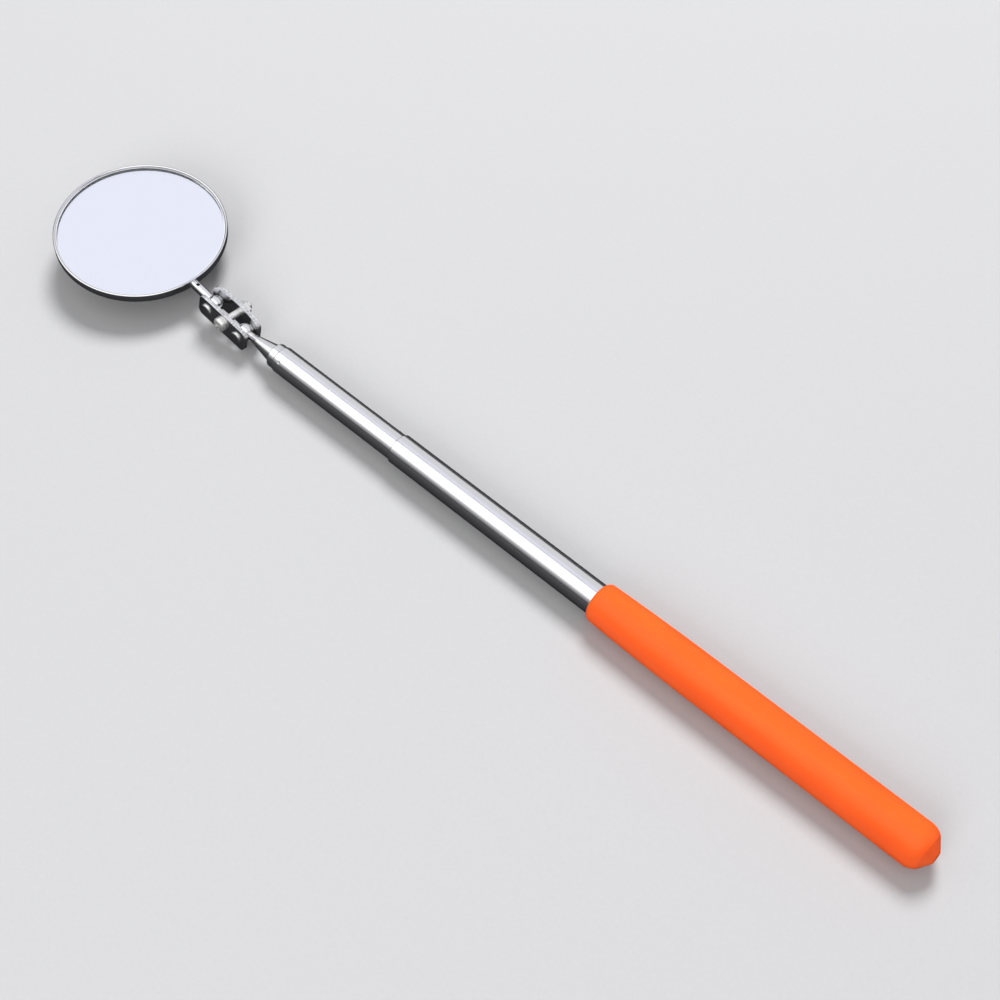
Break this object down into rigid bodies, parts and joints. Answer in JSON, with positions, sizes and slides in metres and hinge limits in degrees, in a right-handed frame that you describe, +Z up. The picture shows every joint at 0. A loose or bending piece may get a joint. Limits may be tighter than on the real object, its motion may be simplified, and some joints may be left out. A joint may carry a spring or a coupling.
{
  "type": "telescoping inspection mirror",
  "caption": "Round inspection mirror on a double ball joint at the end of a telescoping bright steel tube with an orange dipped vinyl grip, for looking behind parts of a car.",
  "frame": {"origin": "on the handle's axis at the rear end of the straight part of the grip", "axes": "+X along the handle towards its closed end, +Y towards the side of the clamp's nut, +Z up from the surface the tool lies on"},
  "size_m": [0.3478, 0.057, 0.0159],
  "materials": {
    "vinyl_grip": "satin",
    "polished_tube": "polished",
    "plug_plastic": "matte",
    "brass_bush": "machined",
    "bronze_sleeve": "rolled",
    "nose_plate": "turned and plated",
    "ball_steel": "polished",
    "clamp_steel": "pressed and plated",
    "screw_steel": "plated",
    "nut_steel": "plated",
    "stem_steel": "turned and plated",
    "cup_plate": "spun and plated",
    "pad_rubber": "matte",
    "clear_glass": "polished",
    "mirror_silver": "silvered"
  },
  "bodies": {
    "handle": {"grip": "vinyl_grip", "outer_tube": "polished_tube", "tube_plug": "plug_plastic"},
    "stage_1": {"first_stage_tube": "polished_tube", "first_tail_bush": "brass_bush", "first_friction_sleeve": "bronze_sleeve"},
    "stage_2": {"second_stage_tube": "polished_tube", "second_tail_bush": "brass_bush", "second_friction_sleeve": "bronze_sleeve"},
    "stage_3": {"third_stage_tube": "polished_tube", "third_tail_bush": "brass_bush", "third_friction_sleeve": "bronze_sleeve", "nose_cone": "nose_plate"},
    "lower_ball_body": {"lower_ball": "ball_steel"},
    "clamp": {"screw_side_plate": "clamp_steel", "nut_side_plate": "clamp_steel", "clamp_nut": "nut_steel", "spring_washer": "nut_steel"},
    "screw": {"clamp_screw": "screw_steel"},
    "upper_ball_body": {"upper_ball": "ball_steel"},
    "mirror_head": {"mirror_stem": "stem_steel", "mirror_cup": "cup_plate", "backing_pad": "pad_rubber", "mirror_glass": "clear_glass", "silver_coating": "mirror_silver"}
  },
  "joints": [
    {"name": "slide_1", "type": "slide", "parent": "handle", "child": "stage_1", "axis": [-1, 0, 0], "range_m": [-0.0515, 0.1246]},
    {"name": "slide_2", "type": "slide", "parent": "stage_1", "child": "stage_2", "axis": [-1, 0, 0], "range_m": [0, 0.1711]},
    {"name": "slide_3", "type": "slide", "parent": "stage_2", "child": "stage_3", "axis": [-1, 0, 0], "range_m": [0, 0.1656]},
    {"name": "nose_turn", "type": "hinge", "parent": "stage_3", "child": "lower_ball_body", "pos_m": [-0.2595, 0, 0], "axis": [-1, 0, 0], "continuous": true},
    {"name": "lower_swing", "type": "hinge", "parent": "lower_ball_body", "child": "clamp", "pos_m": [-0.2595, 0, 0], "axis": [0, 0.9954, -0.0958], "range_deg": [-105, 105]},
    {"name": "screw_turn", "type": "hinge", "parent": "clamp", "child": "screw", "pos_m": [-0.26649, 0.00012, 0.00123], "axis": [0, 0.9954, -0.0958], "range_deg": [-180, 180]},
    {"name": "upper_swing", "type": "hinge", "parent": "clamp", "child": "upper_ball_body", "pos_m": [-0.27348, 0.00024, 0.00245], "axis": [0, -0.9954, 0.0958], "range_deg": [-105, 105]},
    {"name": "mirror_turn", "type": "hinge", "parent": "upper_ball_body", "child": "mirror_head", "pos_m": [-0.27348, 0.00024, 0.00245], "axis": [-0.9949, 0.0748, 0.068], "continuous": true}
  ]
}
